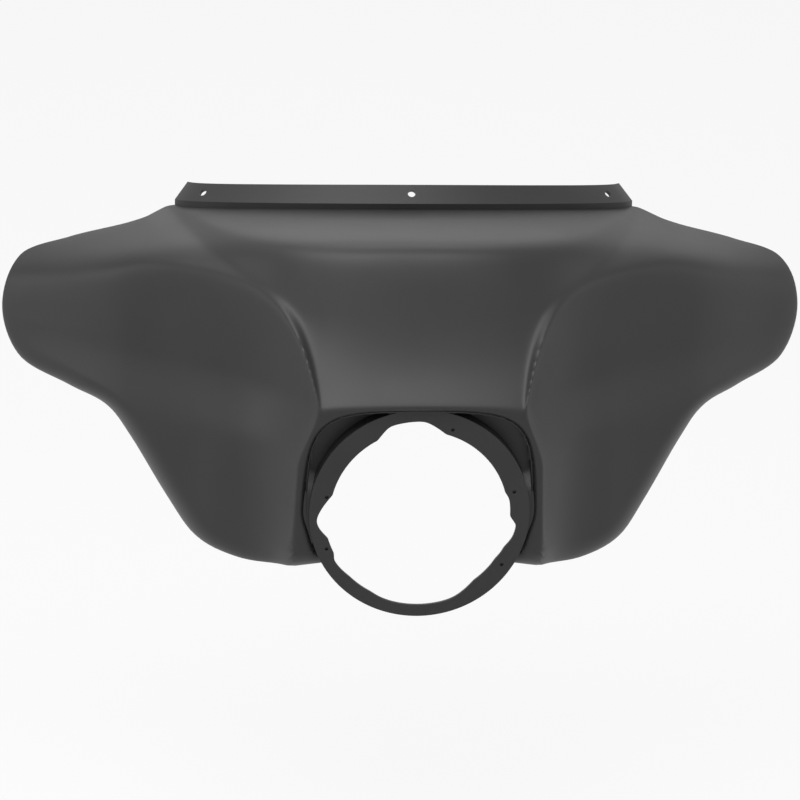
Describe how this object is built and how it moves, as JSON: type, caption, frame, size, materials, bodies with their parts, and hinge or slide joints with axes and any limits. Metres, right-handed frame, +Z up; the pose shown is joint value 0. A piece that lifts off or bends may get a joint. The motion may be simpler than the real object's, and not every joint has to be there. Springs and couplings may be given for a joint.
{
  "type": "motorcycle fairing",
  "caption": "Moulded outer fairing for a touring motorcycle: swept wings, concave nose, headlight ring and a windshield flange.",
  "frame": {"origin": "centre of the headlight ring, on the ring's front face", "axes": "+Z up, -Y forward the way the headlight looks, +X to the right as seen from the front"},
  "size_m": [0.8394, 0.3211, 0.3875],
  "materials": {
    "fairing_plastic": "semi-matt black, fine moulded grain"
  },
  "bodies": {
    "root": {"outer_fairing": "fairing_plastic"}
  },
  "joints": []
}
